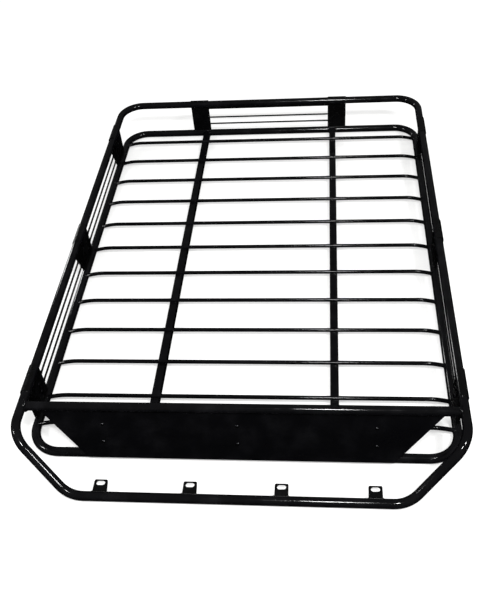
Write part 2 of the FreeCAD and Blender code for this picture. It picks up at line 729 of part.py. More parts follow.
def rear_strip():
    """Flat strip on edge under the rear rail, between the rear uprights."""
    body = new_body("rear_strip", "0", "Sizes.ring_length", "Sizes.rail_height")
    outline = new_sketch(body, "strip", "YZ_Plane")
    half = "Sizes.upright_plate / 2"
    add_rectangle(outline, "-" + half, half, "-Sizes.rear_strip_height", "0")
    pad(body, outline, "2 * Sizes.rear_bay_half", symmetric=True)
    cope = new_sketch(body, "cope", "YZ_Plane")
    add_circle(cope, "Sizes.tube_radius")
    cut_through(body, cope)


side_rods()
rear_rods()
rear_strip()


# ---------------------------------------------------------------------------------------------
# Wind fairing: a sheet leaning back from the ring to the fairing tube, riveted to three stays
# ---------------------------------------------------------------------------------------------

# In the fairing's own frame the fairing tube's axis is X, the sheet hangs down -Z with its back at
# y = 0, and the ring's front axis is one tube radius behind that plane.


def new_fairing_body(label, across="0"):
    """Body in the fairing's leaning frame."""
    body = new_body(label, across, "Sizes.cross_set_back", RAIL_UP)
    base = body.Placement.Base
    body.Placement = FreeCAD.Placement(base, FreeCAD.Rotation(Vector(-1, 0, 0), 1))
    body.setExpression("Placement.Rotation.Angle", "Sizes.fairing_tilt")
    return body


def rivet_levels():
    """Expressions for the two rivets' places down the sheet."""
    return ("(Sizes.low_rivet - Sizes.contact_distance)", "-Sizes.high_rivet")


def cope_to_tubes(body, both):
    """Cut a leaning sub-part to the fairing tube and, where both, to the ring."""
    cope = new_sketch(body, "cope", "YZ_Plane")
    add_circle(cope, "Sizes.tube_radius")
    if both:
        add_circle(cope, "Sizes.tube_radius", "Sizes.tube_radius", "-Sizes.contact_distance")
    cut_through(body, cope)


def wind_fairing():
    """Tapered sheet with three pairs of rivet holes."""
    body = new_fairing_body("wind_fairing")
    outline = new_sketch(body, "sheet", "XZ_Plane")
    top = "-Sizes.tube_bore / 2"
    bottom = "-(Sizes.contact_distance + Sizes.fairing_lap)"
    corners = [
        ("-Sizes.fairing_bottom_half", bottom),
        ("Sizes.fairing_bottom_half", bottom),
        ("Sizes.fairing_top_half", top),
        ("-Sizes.fairing_top_half", top),
    ]
    add_outline(outline, corners)
    pad(body, outline, "Sizes.fairing_sheet")
    cope_to_tubes(body, False)
    holes = new_sketch(body, "holes", "XZ_Plane")
    for _, place in STAYS:
        for level in rivet_levels():
            add_circle(holes, "Sizes.rivet_hole_radius", "%d * Sizes.stay_offset" % place, level)
    cut_through(body, holes)


def fairing_stay(name, place):
    """Flat stay between the tubes, behind the sheet."""
    body = new_fairing_body("fairing_stay_%s" % name, "%d * Sizes.stay_offset" % place)
    outline = new_sketch(body, "flat", "XZ_Plane")
    half = "Sizes.stay_width / 2"
    add_rectangle(outline, "-" + half, half, "-Sizes.contact_distance", "-Sizes.tube_bore / 2")
    pad(body, outline, "Sizes.stay_thickness", backwards=True)
    cope_to_tubes(body, True)
    holes = new_sketch(body, "holes", "XZ_Plane")
    for level in rivet_levels():
        add_circle(holes, "Sizes.rivet_hole_radius", "0", level)
    cut_through(body, holes)


def dome(radius, height):
    """Domed head on Z = 0, rising along +Z: a slice of a ball."""
    ball_radius = (radius ** 2 + height ** 2) / (2 * height)
    ball = Part.makeSphere(ball_radius, Vector(0, 0, height - ball_radius))
    room = Part.makeCylinder(radius, height)
    return ball.common(room)


def fairing_rivets():
    """Six blind rivets: a dome in front, a shank, and a set tail behind the stay."""
    shank_radius = size("rivet_diameter") / 2
    head_radius = size("rivet_head_diameter") / 2
    grip = size("fairing_sheet") + size("stay_thickness")
    head = dome(head_radius, size("rivet_head_height"))
    shank = Part.makeCylinder(shank_radius, grip, Vector(0, 0, -grip))
    tail_radius = (shank_radius + head_radius) / 2
    tail = Part.makeCylinder(tail_radius, 2 * shank_radius, Vector(0, 0, -grip - 2 * shank_radius))
    rivet = head.fuse([shank, tail]).removeSplitter()
    rivet.rotate(Vector(), Vector(1, 0, 0), 90)
    rivet.translate(Vector(0, -size("fairing_sheet"), 0))
    copies = []
    for _, place in STAYS:
        for level in rivet_levels():
            copy = rivet.copy()
            copy.translate(Vector(place * size("stay_offset"), 0, number(level)))
            copies.append(copy)
    origin = Vector(0, size("front_axis") + size("cross_set_back"), size("rail_height"))
    lean = FreeCAD.Rotation(Vector(-1, 0, 0), size("fairing_tilt"))
    place_feature("fairing_rivets", Part.makeCompound(copies), FreeCAD.Placement(origin, lean))


wind_fairing()
for stay_name, stay_place in STAYS:
    fairing_stay(stay_name, stay_place)
fairing_rivets()


# ---------------------------------------------------------------------------------------------
# Lamp tabs: level plates on the hoop's front bar, each with a slot for a lamp's bolt
# ---------------------------------------------------------------------------------------------


def lamp_tab(index):
    """Plate with rounded tip corners and tapered cheeks, coped to the front bar and slotted."""
    places = "(%d * Sizes.tab_spacing / 2)" % (2 * index - TAB_COUNT + 1)
    up = "Sizes.tube_radius + Sizes.tab_top"
    body = new_body("lamp_tab_%d" % (index + 1), places, "-Sizes.nose_reach", up)
    outline = new_sketch(body, "plate", "XY_Plane")
    half = "Sizes.tab_width / 2"
    add_rectangle(outline, "-" + half, half, "0", "Sizes.tab_reach")
    plate = pad(body, outline, "Sizes.tab_thickness", backwards=True)
    round_tip(body, plate)
    add_cheeks(body)
    cope = new_sketch(body, "cope", "YZ_Plane")
    add_circle(cope, "Sizes.tube_radius", "0", "-Sizes.tab_top")
    cut_through(body, cope)
    add_slot(body)


def round_tip(body, plate):
    """Round the two upright edges at a tab's tip."""
    tip = size("tab_reach")
    names = []
    for index, edge in enumerate(plate.Shape.Edges):
        ends = [vertex.Point for vertex in edge.Vertexes]
        upright = abs(ends[0].z - ends[-1].z) > 1
        if upright and abs(ends[0].y - tip) < 0.01:
            names.append("Edge%d" % (index + 1))
    fillet = body.newObject("PartDesign::Fillet", body.Label + "_Round")
    fillet.Base = (plate, names)
    fillet.setExpression("Radius", "Sizes.tab_corner")
    doc.recompute()


def add_cheeks(body):
    """Two side cheeks under a tab, deepest at the bar: one wedge with its middle cut out."""
    wedge = new_sketch(body, "wedge", "YZ_Plane")
    under, reach = "-Sizes.tab_thickness", "(Sizes.tab_reach - Sizes.tab_corner)"
    add_outline(wedge, [("0", under), ("0", "-Sizes.tab_cheek"), (reach, under)])
    pad(body, wedge, "Sizes.tab_width", symmetric=True)
    before = body.Shape.Volume
    middle = new_sketch(body, "middle", "XZ_Plane")
    inner = "(Sizes.tab_width / 2 - Sizes.tab_thickness)"
    add_rectangle(middle, "-" + inner, inner, "-2 * Sizes.tab_cheek", under)
    cut_through(body, middle)
    if not body.Shape.Volume < before:
        raise RuntimeError("%s has no space between its cheeks" % body.Label)


def add_slot(body):
    """Slot across the tab, near its tip: a straight middle and two round ends."""
    end_radius = "Sizes.slot_width / 2"
    centre = "(Sizes.tab_reach - Sizes.slot_edge - %s)" % end_radius
    reach = "(Sizes.slot_length / 2 - %s)" % end_radius
    middle = new_sketch(body, "slot", "XY_Plane")
    lower, upper = "%s - %s" % (centre, end_radius), "%s + %s" % (centre, end_radius)
    add_rectangle(middle, "-" + reach, reach, lower, upper)
    cut_through(body, middle)
    ends = new_sketch(body, "ends", "XY_Plane")
    for _, side in SIDES:
        add_circle(ends, end_radius, "%d * %s" % (side, reach), centre)
    cut_through(body, ends)


for tab_index in range(TAB_COUNT):
    lamp_tab(tab_index)


# ---------------------------------------------------------------------------------------------
# Upright bolts and nuts: two to each side upright, heads inboard
# ---------------------------------------------------------------------------------------------


def bolt_places():
    """Left-hand bolt positions in the ring's front frame: where the plate's inner face is."""
    places = []
    for name in UPRIGHTS:
        for level in ("low_bolt", "high_bolt"):
            along = size("%s_station" % name)
            places.append(Vector(size("upright_plate") / 2 - size("ring_half"), along, size(level)))
    return places


def copies_on_both_sides(shape):
    """Copies of a left-hand fastener at every bolt, and their mirror images."""
    copies = []
    for place in bolt_places():
        copy = shape.copy()
        copy.translate(place)
        copies.append(copy)
    mirrored = [copy.mirror(Vector(), Vector(1, 0, 0)) for copy in copies]
    return Part.makeCompound(copies + mirrored)


def upright_bolts(placement):
    """Button-head bolts: the dome inboard, the shank out through plate, strap and nut."""
    grip = size("upright_plate") + size("strap_thickness")
    nut = size("nut_flange_height") + size("nut_height")
    length = grip + nut + size("bolt_tail")
    head = dome(size("bolt_head_diameter") / 2, size("bolt_head_height"))
    shank = Part.makeCylinder(size("bolt_diameter") / 2, length, Vector(0, 0, -length))
    bolt = head.fuse(shank).removeSplitter()
    bolt.rotate(Vector(), Vector(0, 1, 0), 90)
    place_feature("upright_bolts", copies_on_both_sides(bolt), placement)


def upright_nuts(placement):
    """Flanged hexagon nuts against the strap's outer face."""
    corner_radius = size("nut_flats") / math.sqrt(3)
    corners = []
    for step in range(7):
        angle = math.radians(60 * step)
        corners.append(Vector(corner_radius * math.cos(angle), corner_radius * math.sin(angle), 0))
    hexagon = Part.Face(Part.makePolygon(corners)).extrude(Vector(0, 0, -size("nut_height")))
    hexagon.translate(Vector(0, 0, -size("nut_flange_height")))
    flange_radius = size("nut_flange_diameter") / 2
    flange_height = size("nut_flange_height")
    flange = Part.makeCylinder(flange_radius, flange_height, Vector(0, 0, -flange_height))
    depth = size("nut_flange_height") + size("nut_height")
    bore = Part.makeCylinder(size("bolt_diameter") / 2, depth, Vector(0, 0, -depth))
    nut = hexagon.fuse(flange).cut(bore).removeSplitter()
    nut.rotate(Vector(), Vector(0, 1, 0), 90)
    nut.translate(Vector(-size("upright_plate") - size("strap_thickness"), 0, 0))
    place_feature("upright_nuts", copies_on_both_sides(nut), placement)


bolt_frame = FreeCAD.Placement()
bolt_frame.Base = Vector(0, size("front_axis"), size("tube_radius"))
upright_bolts(bolt_frame)
upright_nuts(bolt_frame)


# ---------------------------------------------------------------------------------------------
# Checks and files
# ---------------------------------------------------------------------------------------------

doc.recompute()
for item in doc.Objects:
    if "Invalid" in item.State or "Error" in item.State:
        raise RuntimeError("%s did not recompute: %s" % (item.Label, item.State))
for label, part in parts.items():
    if part.Shape.isNull() or not part.Shape.isValid() or not part.Shape.Solids:
        raise RuntimeError("%s has no valid solid" % label)

os.makedirs("parts", exist_ok=True)
for label, part in parts.items():
    part.Shape.exportStep("parts/%s.step" % label)
print("%d sub-parts written" % len(parts))
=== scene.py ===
import math

import bmesh
import bpy
import numpy as np
from mathutils import Matrix, Vector


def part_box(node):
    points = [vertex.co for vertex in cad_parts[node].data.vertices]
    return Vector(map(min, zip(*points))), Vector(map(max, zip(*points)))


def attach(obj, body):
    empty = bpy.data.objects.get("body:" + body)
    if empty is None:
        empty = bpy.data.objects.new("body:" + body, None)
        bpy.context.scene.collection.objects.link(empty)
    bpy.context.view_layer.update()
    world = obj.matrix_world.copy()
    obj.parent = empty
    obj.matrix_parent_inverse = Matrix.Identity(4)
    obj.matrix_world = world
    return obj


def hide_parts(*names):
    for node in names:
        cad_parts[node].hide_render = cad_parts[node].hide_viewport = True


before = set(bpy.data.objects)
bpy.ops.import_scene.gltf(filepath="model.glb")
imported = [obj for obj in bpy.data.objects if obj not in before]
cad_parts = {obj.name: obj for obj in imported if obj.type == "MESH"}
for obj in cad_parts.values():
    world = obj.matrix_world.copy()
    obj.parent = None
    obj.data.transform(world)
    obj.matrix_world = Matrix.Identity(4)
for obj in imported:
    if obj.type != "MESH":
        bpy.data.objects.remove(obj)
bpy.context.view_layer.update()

# ------------------------------------------------------------------------------------------------
# Floor ring
# The loop the basket stands on: two bent corner tubes and two straight side tubes of 25 mm round
# steel tube, butted end to end, welded all round and dressed nearly flush before coating.
# ------------------------------------------------------------------------------------------------


def linear(hex_colour):
    """An sRGB hex colour as linear red, green, blue and a full alpha."""
    parts = np.array([int(hex_colour[i:i + 2], 16) for i in (1, 3, 5)]) / 255
    curve = np.where(parts <= 0.04045, parts / 12.92, ((parts + 0.055) / 1.055) ** 2.4)
    return (*curve.tolist(), 1.0)


def add_node(material, kind, inputs=None, **settings):
    """Adds one node to a material. Inputs are plain values, or the sockets that feed them."""
    node = material.node_tree.nodes.new(kind)
    for name, value in settings.items():
        setattr(node, name, value)
    for name, value in (inputs or {}).items():
        if isinstance(value, bpy.types.NodeSocket):
            material.node_tree.links.new(value, node.inputs[name])
        else:
            node.inputs[name].default_value = value
    return node


def empty_material(name):
    """A new material with no nodes yet."""
    material = bpy.data.materials.new(name)
    material.use_nodes = True
    material.node_tree.nodes.clear()
    return material


def powder_coated_steel(name, black, dust, roughness, shine, peel, peel_width):
    """Gloss polyester powder baked on mild steel: a deep black film with orange peel.

    The eye gets deep black with a hard small glint that breaks up along its edges, cloudier
    where the film is thin, and fine pale dust. Peel waves are 1 to 3 mm wide on the real film;
    they are drawn 2 to 4 mm wide, because finer ones don't show at this distance.
    """
    cloud_width, speck_width, peel_depth = 0.06, 0.0016, 0.0004
    smoother, duller = 0.03, 0.06
    material = empty_material(name)
    place = add_node(material, "ShaderNodeTexCoord").outputs["Object"]
    waves = add_node(material, "ShaderNodeTexNoise",
                     {"Vector": place, "Scale": 1 / peel_width, "Detail": 2.0, "Roughness": 0.45})
    film = add_node(material, "ShaderNodeTexNoise",
                    {"Vector": place, "Scale": 1 / cloud_width, "Detail": 3.0, "Roughness": 0.55})
    specks = add_node(material, "ShaderNodeTexNoise",
                      {"Vector": place, "Scale": 1 / speck_width, "Detail": 2.0, "Roughness": 0.7})
    gloss = add_node(material, "ShaderNodeMapRange",
                     {"Value": film.outputs["Fac"], "From Min": 0.3, "From Max": 0.7,
                      "To Min": roughness - smoother, "To Max": roughness + duller})
    settled = add_node(material, "ShaderNodeMath",
                       {0: specks.outputs["Fac"], 1: film.outputs["Fac"]}, operation="MULTIPLY")
    colour = add_node(material, "ShaderNodeValToRGB", {"Fac": settled.outputs["Value"]})
    for stop, share, shade in zip(colour.color_ramp.elements, (0.24, 0.46), (black, dust)):
        stop.position, stop.color = share, linear(shade)
    bump = add_node(material, "ShaderNodeBump",
                    {"Height": waves.outputs["Fac"], "Strength": peel, "Distance": peel_depth})
    shader = add_node(material, "ShaderNodeBsdfPrincipled",
                      {"Base Color": colour.outputs["Color"], "Roughness": gloss.outputs["Result"],
                       "IOR": 1.5, "Specular IOR Level": shine, "Normal": bump.outputs["Normal"]})
    add_node(material, "ShaderNodeOutputMaterial", {"Surface": shader.outputs["BSDF"]})
    return material


def coat(nodes, material):
    """Gives CAD nodes a finish in place of their plain one."""
    for name in nodes:
        piece = bpy.data.objects[name]
        piece.data.materials.clear()
        piece.data.materials.append(material)


def weld_beads(name, paths, outward, thickness, puddle, closed, material):
    """Round weld beads, each a circle carried along its path.

    The circle's radius is the bead's thickness times one plus a tenth of the sine of the length
    along the path over the puddle's length, so that it swells once per puddle. An open bead's
    radius falls to a third at its ends, as the square root of one minus the tenth power of the
    distance from its middle. Outward says which way each path point looks out of the joint.
    Under the basket the beads are dressed off level with the ground it stands on.
    """
    around, swell, tip = 10, 0.1, 0.33
    paths = np.asarray(paths, float)
    outward = np.broadcast_to(outward, paths.shape)
    beads, steps, _ = paths.shape
    ahead = np.roll(paths, -1, 1) - np.roll(paths, 1, 1)
    if not closed:
        ahead[:, 0] = paths[:, 1] - paths[:, 0]
        ahead[:, -1] = paths[:, -1] - paths[:, -2]
    ahead /= np.linalg.norm(ahead, axis=2, keepdims=True)
    side = np.cross(ahead, outward)
    side /= np.linalg.norm(side, axis=2, keepdims=True)
    up = np.cross(side, ahead)
    strides = np.linalg.norm(np.roll(paths, -1, 1) - paths, axis=2)
    if not closed:
        strides[:, -1] = 0
    along = np.cumsum(strides, 1) - strides
    total = strides.sum(1, keepdims=True)
    puddles = np.maximum(np.round(total / puddle), 1)
    radius = thickness * (1 + swell * np.sin(2 * math.pi * puddles * along / total))
    if not closed:
        reach = np.abs(2 * along / total - 1)
        radius = radius * np.maximum(np.sqrt(np.maximum(1 - reach ** 10, 0)), tip)
    turn = 2 * math.pi * np.arange(around) / around
    ring = up[:, :, None] * np.cos(turn)[:, None] + side[:, :, None] * np.sin(turn)[:, None]
    points = (paths[:, :, None] + radius[:, :, None, None] * ring).reshape(-1, 3)
    points[:, 2] = np.maximum(points[:, 2], 0.0)
    index = np.arange(beads * steps * around).reshape(beads, steps, around)
    here = index if closed else index[:, :-1]
    there = np.roll(index, -1, 1) if closed else index[:, 1:]
    quads = np.stack([here, np.roll(here, -1, 2), np.roll(there, -1, 2), there], -1)
    faces = quads.reshape(-1, 4).tolist()
    if not closed:
        faces += index[:, 0, ::-1].tolist() + index[:, -1].tolist()
    mesh = bpy.data.meshes.new(name)
    mesh.from_pydata(points.tolist(), [], faces)
    mesh.polygons.foreach_set("use_smooth", np.ones(len(mesh.polygons), bool))
    mesh.materials.append(material)
    piece = bpy.data.objects.new(name, mesh)
    bpy.context.collection.objects.link(piece)
    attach(piece, "root")


def circle(steps):
    """The cosines and sines of equal steps round a circle."""
    turn = 2 * math.pi * np.arange(steps) / steps
    return np.cos(turn), np.sin(turn)


def route(x, y, z):
    """The points of a path, where x, y and z are each a row of numbers or one for them all."""
    return np.stack(np.broadcast_arrays(x, y, z), 1)


def collars(centres, radius, steps=48):
    """Circles round tubes that run along Y, and the way each of their points looks out."""
    across, up = circle(steps)
    look = route(across, 0.0, up)
    return np.array(centres)[:, None] + radius * look, look


def butt_welds(name, low, high):
    """Beads round both ends of the two side tubes whose left one fills the box low to high.

    The bead's middle is sunk 1.6 mm, the tube's wall, so that it stands 0.6 mm proud.
    """
    height = (low.z + high.z) / 2
    ends = [(side * ring_half, y, height) for side in (-1, 1) for y in (low.y, high.y)]
    seams, look = collars(ends, tube_radius - tube_wall)
    weld_beads(name, seams, look, thickness=0.0022, puddle=0.004, closed=True,
               material=tube_coat)


tube_coat = powder_coated_steel("gloss black powder-coated steel tube", black="#060607",
                                dust="#121214", roughness=0.08, shine=0.24,
                                peel=0.18, peel_width=0.003)
tube_wall = 0.0016
ring_low, ring_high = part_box("ring_left_tube")
tube_radius = (ring_high.z - ring_low.z) / 2
ring_half = -(ring_low.x + ring_high.x) / 2
ring_height = (ring_low.z + ring_high.z) / 2
coat(["ring_front_tube", "ring_rear_tube", "ring_left_tube", "ring_right_tube"], tube_coat)
butt_welds("ring_butt_welds", ring_low, ring_high)

# ------------------------------------------------------------------------------------------------
# Raised rail
# The upper loop: straight side tubes and one bent rear tube, of the same stock as the ring, and
# butt-welded to each other and to the lamp hoop in the same way.
# ------------------------------------------------------------------------------------------------

rail_low, rail_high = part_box("rail_left_tube")
rail_height = (rail_low.z + rail_high.z) / 2
coat(["rail_left_tube", "rail_right_tube", "rail_rear_tube", "lamp_hoop"], tube_coat)
butt_welds("rail_butt_welds", rail_low, rail_high)

# ------------------------------------------------------------------------------------------------
# Fairing tube
# A straight tube across the basket at rail height. Its ends are fish-mouthed over the rails and
# welded all round with a wide bead that smooths the corner.
# ------------------------------------------------------------------------------------------------

coat(["fairing_tube"], tube_coat)
cross_low, cross_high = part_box("fairing_tube")
cross_y = (cross_low.y + cross_high.y) / 2
# A bead in a corner looks out of its tube, and this much as far back along it.
mouth_lean = 0.7
up, ahead = circle(64)
seat = ring_half - tube_radius * np.abs(up)
rim_y = cross_y + tube_radius * ahead
rim_z = rail_height + tube_radius * up
mouths = [route(side * seat, rim_y, rim_z) for side in (-1, 1)]
look = [route(-side * mouth_lean, ahead, up) for side in (-1, 1)]
weld_beads("fairing_tube_welds", mouths, look, thickness=0.0042, puddle=0.005, closed=True,
           material=tube_coat)

# ------------------------------------------------------------------------------------------------
# Floor rails
# Two lengths of 24 mm square tube under the floor. The ends are coped to the ring's front and
# rear tubes and welded all round.
# ------------------------------------------------------------------------------------------------

floor_coat = powder_coated_steel("gloss black powder-coated steel floor", black="#050506",
                                 dust="#111113", roughness=0.10, shine=0.16,
                                 peel=0.16, peel_width=0.0025)
coat(["floor_rail_left", "floor_rail_right"], floor_coat)
beam_low, beam_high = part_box("floor_rail_right")
beam_half = (beam_high.x - beam_low.x) / 2
beam_x = (beam_low.x + beam_high.x) / 2
# A rounded square is a circle whose radius is one over the eighth root of the sum of the eighth
# powers of its cosine and sine.
across, up = circle(72)
corner = beam_half / (np.abs(across) ** 8 + np.abs(up) ** 8) ** (1 / 8)
rim_z = beam_half + corner * up
inset = np.sqrt(np.maximum(tube_radius ** 2 - (rim_z - ring_height) ** 2, 0))
ends = [(side, end, way) for side in (-1, 1) for end, way in ((beam_low.y, 1), (beam_high.y, -1))]
loops = [route(side * beam_x + corner * across, end + way * inset, rim_z)
         for side, end, way in ends]
look = [route(across, way * mouth_lean, up) for _, _, way in ends]
weld_beads("floor_rail_end_welds", loops, look, thickness=0.0022, puddle=0.0045, closed=True,
           material=floor_coat)

# ------------------------------------------------------------------------------------------------
# Crossbars
# Twelve 12 mm round bars that lie in the floor rails' notches. Each is fillet-welded along both
# sides where it crosses a floor rail, and all round where its bent end meets the ring.
# ------------------------------------------------------------------------------------------------

crossbars = ["crossbar_%02d" % (i + 1) for i in range(12)]
coat(crossbars, floor_coat)
bar_boxes = [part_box(name) for name in crossbars]
bar_y = np.array([(low.y + high.y) / 2 for low, high in bar_boxes])
bar_radius = (bar_boxes[0][1].y - bar_boxes[0][0].y) / 2
bar_top = bar_boxes[0][1].z
# The bar's axis starts to bend 72 mm in from the ring's axis and ends half a bore's radius in from
# it and 5 mm above it. The arc has nine tenths of the radius that would reach that end by itself,
# and a straight stretch at the slope does the rest.
bend_reach, end_rise, bend_share, toe_lean = 0.072, 0.005, 0.9, 0.8
end_inset = (tube_radius - tube_wall) / 2
run = bend_reach - end_inset
drop = bar_top - bar_radius - ring_height - end_rise
bend_radius = bend_share * (run ** 2 + drop ** 2) / (2 * drop)
rise = bend_radius - drop
slope = math.atan2(run, rise) - math.acos(bend_radius / math.hypot(run, rise))
# Each point of the bar's rim slides down that slope until it meets the ring: the distance is the
# root of the quadratic for a line and the tube's circle.
ahead, up = circle(40)
start_out = bar_radius * up * math.sin(slope) - end_inset
start_up = bar_radius * up * math.cos(slope) + end_rise
half_b = start_out * math.cos(slope) - start_up * math.sin(slope)
slide = -half_b - np.sqrt(half_b ** 2 - (start_out ** 2 + start_up ** 2 - tube_radius ** 2))
rim_x = ring_half + start_out + slide * math.cos(slope)
rim_z = ring_height + start_up - slide * math.sin(slope)
toes = [route(side * rim_x, y + bar_radius * ahead, rim_z) for side in (-1, 1) for y in bar_y]
look = [route(-side * toe_lean, ahead, up) for side in (-1, 1) for _ in bar_y]
weld_beads("crossbar_end_welds", toes, look, thickness=0.0021, puddle=0.004, closed=True,
           material=floor_coat)

seat_span = np.linspace(-0.8, 0.8, 14) * beam_half
seat_out = bar_radius + 0.0002
seat_height = beam_high.z + 0.0006
seats = [(side, y, edge) for side in (-1, 1) for y in bar_y for edge in (-1, 1)]
fillets = [route(side * beam_x + seat_span, y + edge * seat_out, seat_height)
           for side, y, edge in seats]
look = [[(0.0, edge, 1.0)] for _, _, edge in seats]
weld_beads("crossbar_seat_welds", fillets, look, thickness=0.0020, puddle=0.004, closed=False,
           material=floor_coat)

# ------------------------------------------------------------------------------------------------
# Side uprights and hook straps
# Six 3 mm pressed plates stand on the ring with a fillet down both sides of the foot. A 2.5 mm
# strap hooks over the rail and bolts to each with two M8 button-head bolts and flanged nuts.
# ------------------------------------------------------------------------------------------------


def softened(node, edge, material):
    """A CAD plate with its cut edges broken: its flat faces are made whole again, then bevelled."""
    mesh = bpy.data.objects[node].data.copy()
    mesh.name = node + "_softened"
    piece = bpy.data.objects.new(node + "_softened", mesh)
    bpy.context.collection.objects.link(piece)
    flat = bmesh.new()
    flat.from_mesh(mesh)
    bmesh.ops.remove_doubles(flat, verts=flat.verts, dist=0.00001)
    bmesh.ops.dissolve_limit(flat, angle_limit=math.radians(1), verts=flat.verts, edges=flat.edges)
    flat.to_mesh(mesh)
    flat.free()
    mesh.polygons.foreach_set("use_smooth", np.ones(len(mesh.polygons), bool))
    mesh.set_sharp_from_angle(angle=math.radians(35))
    bevel = piece.modifiers.new("broken edges", "BEVEL")
    bevel.width = edge
    bevel.segments = 2
    bevel.limit_method = "ANGLE"
    bevel.angle_limit = math.radians(40)
    bevel.harden_normals = True
    mesh.materials.clear()
    mesh.materials.append(material)
    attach(piece, "root")
    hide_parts(node)


plate_coat = powder_coated_steel("gloss black powder-coated steel plate", black="#040404",
                                 dust="#0d0d0f", roughness=0.26, shine=0.22,
                                 peel=0.26, peel_width=0.004)
uprights = ["upright_%s_%s" % (side, station) for side in ("left", "right")
            for station in ("front", "middle", "rear")]
straps = [name.replace("upright", "strap") for name in uprights]
for name in uprights + straps:
    softened(name, 0.0005, plate_coat)
foot_length, foot_end, foot_out = 0.111, 0.002, 0.0026
ring_crest = ring_height + tube_radius - 0.0003
fillets, look = [], []
for name in uprights:
    low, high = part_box(name)
    middle = (low.x + high.x) / 2
    along = np.linspace(max(low.y, high.y - foot_length) + foot_end, high.y - foot_end, 60)
    for edge in (-1, 1):
        fillets.append(route(middle + edge * foot_out, along, ring_crest))
        look.append([(edge, 0.0, 1.0)])
weld_beads("upright_foot_welds", fillets, look, thickness=0.0019, puddle=0.0045, closed=False,
           material=plate_coat)

# Black zinc on steel: a dark metal with a satin, slightly mottled shine, which gives the bolts
# and rivets their small soft glint beside the black coat. The mottle is 2 mm wide.
fastener_steel = empty_material("black zinc-plated steel fasteners")
place = add_node(fastener_steel, "ShaderNodeTexCoord").outputs["Object"]
mottle = add_node(fastener_steel, "ShaderNodeTexNoise",
                  {"Vector": place, "Scale": 1 / 0.002, "Detail": 3.0, "Roughness": 0.6})
worn = add_node(fastener_steel, "ShaderNodeValToRGB", {"Fac": mottle.outputs["Fac"]})
for stop, share, grey in zip(worn.color_ramp.elements, (0.35, 0.75), ("#161618", "#454547")):
    stop.position, stop.color = share, linear(grey)
satin = add_node(fastener_steel, "ShaderNodeMapRange",
                 {"Value": mottle.outputs["Fac"], "From Min": 0.3, "From Max": 0.7,
                  "To Min": 0.2, "To Max": 0.34})
dimples = add_node(fastener_steel, "ShaderNodeBump",
                   {"Height": mottle.outputs["Fac"], "Strength": 0.15, "Distance": 0.0001})
shader = add_node(fastener_steel, "ShaderNodeBsdfPrincipled",
                  {"Base Color": worn.outputs["Color"], "Roughness": satin.outputs["Result"],
                   "Metallic": 1.0, "Normal": dimples.outputs["Normal"]})
add_node(fastener_steel, "ShaderNodeOutputMaterial", {"Surface": shader.outputs["BSDF"]})
coat(["upright_bolts", "upright_nuts"], fastener_steel)

# ------------------------------------------------------------------------------------------------
# Side rods
# Two 6 mm round rods fill each gap between the uprights. Their ends butt on the plates' edges
# under a small ball of weld.
# ------------------------------------------------------------------------------------------------

rod_coat = powder_coated_steel("gloss black powder-coated steel rod", black="#050506",
                               dust="#101011", roughness=0.13, shine=0.14,
                               peel=0.16, peel_width=0.002)
rods = ["side_rod_%s_%s_%s" % (side, bay, level) for side in ("left", "right")
        for bay in ("front", "rear") for level in ("low", "high")]
coat(rods, rod_coat)
front_inset, rear_inset, ball_radius = 0.0005, 0.0012, 0.0026
centres = []
for name in rods:
    low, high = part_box(name)
    middle = (low + high) / 2
    centres += [(middle.x, y, middle.z) for y in (low.y + front_inset, high.y - rear_inset)]
balls, look = collars(centres, ball_radius, 24)
weld_beads("side_rod_welds", balls, look, thickness=0.0017, puddle=0.004, closed=True,
           material=rod_coat)

# ------------------------------------------------------------------------------------------------
# Rear uprights, rods and strip
# Two one-piece plates hook over the rear rail themselves. Between them run two 6 mm rods and,
# under the rail, a flat strip held by short stitches of weld.
# ------------------------------------------------------------------------------------------------

for name in ("rear_upright_left", "rear_upright_right", "rear_strip"):
    softened(name, 0.0005, plate_coat)
coat(["rear_rod_low", "rear_rod_high"], rod_coat)
strip_low, strip_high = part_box("rear_strip")
rear_y = (strip_low.y + strip_high.y) / 2
stitch_half, stitch_inset, stitch_out = 0.015, 0.03, 0.0024
runs = []
for name in ("rear_upright_left", "rear_upright_right"):
    low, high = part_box(name)
    runs.append((np.linspace(low.x + foot_end, high.x - foot_end, 40), foot_out, ring_crest, 1.0))
rail_belly = rail_height - tube_radius + 0.0003
for middle in np.linspace(strip_low.x + stitch_inset, strip_high.x - stitch_inset, 4):
    stitch = middle + np.linspace(-stitch_half, stitch_half, 40)
    runs.append((stitch, stitch_out, rail_belly, -1.0))
fillets, look = [], []
for along, out, height, way in runs:
    for edge in (-1, 1):
        fillets.append(route(along, rear_y + edge * out, height))
        look.append([(0.0, edge, way)])
weld_beads("rear_plate_welds", fillets, look, thickness=0.0022, puddle=0.0045, closed=False,
           material=plate_coat)

# ------------------------------------------------------------------------------------------------
# Wind fairing
# A 2 mm sheet, wider at the top, that leans back from the ring to the fairing tube. Three flat
# stays behind it carry it on domed rivets.
# ------------------------------------------------------------------------------------------------

sheet_coat = powder_coated_steel("gloss black powder-coated steel sheet", black="#030304",
                                 dust="#0b0b0d", roughness=0.30, shine=0.10,
                                 peel=0.30, peel_width=0.004)
softened("wind_fairing", 0.0004, sheet_coat)
for name in ("fairing_stay_left", "fairing_stay_centre", "fairing_stay_right"):
    softened(name, 0.0004, plate_coat)
coat(["fairing_rivets"], fastener_steel)

# ------------------------------------------------------------------------------------------------
# Lamp tabs
# Four pressed tabs on the hoop's front bar, each with a long slot for a lamp's bolt. The tab and
# its cheeks are welded to the bar along their edges.
# ------------------------------------------------------------------------------------------------

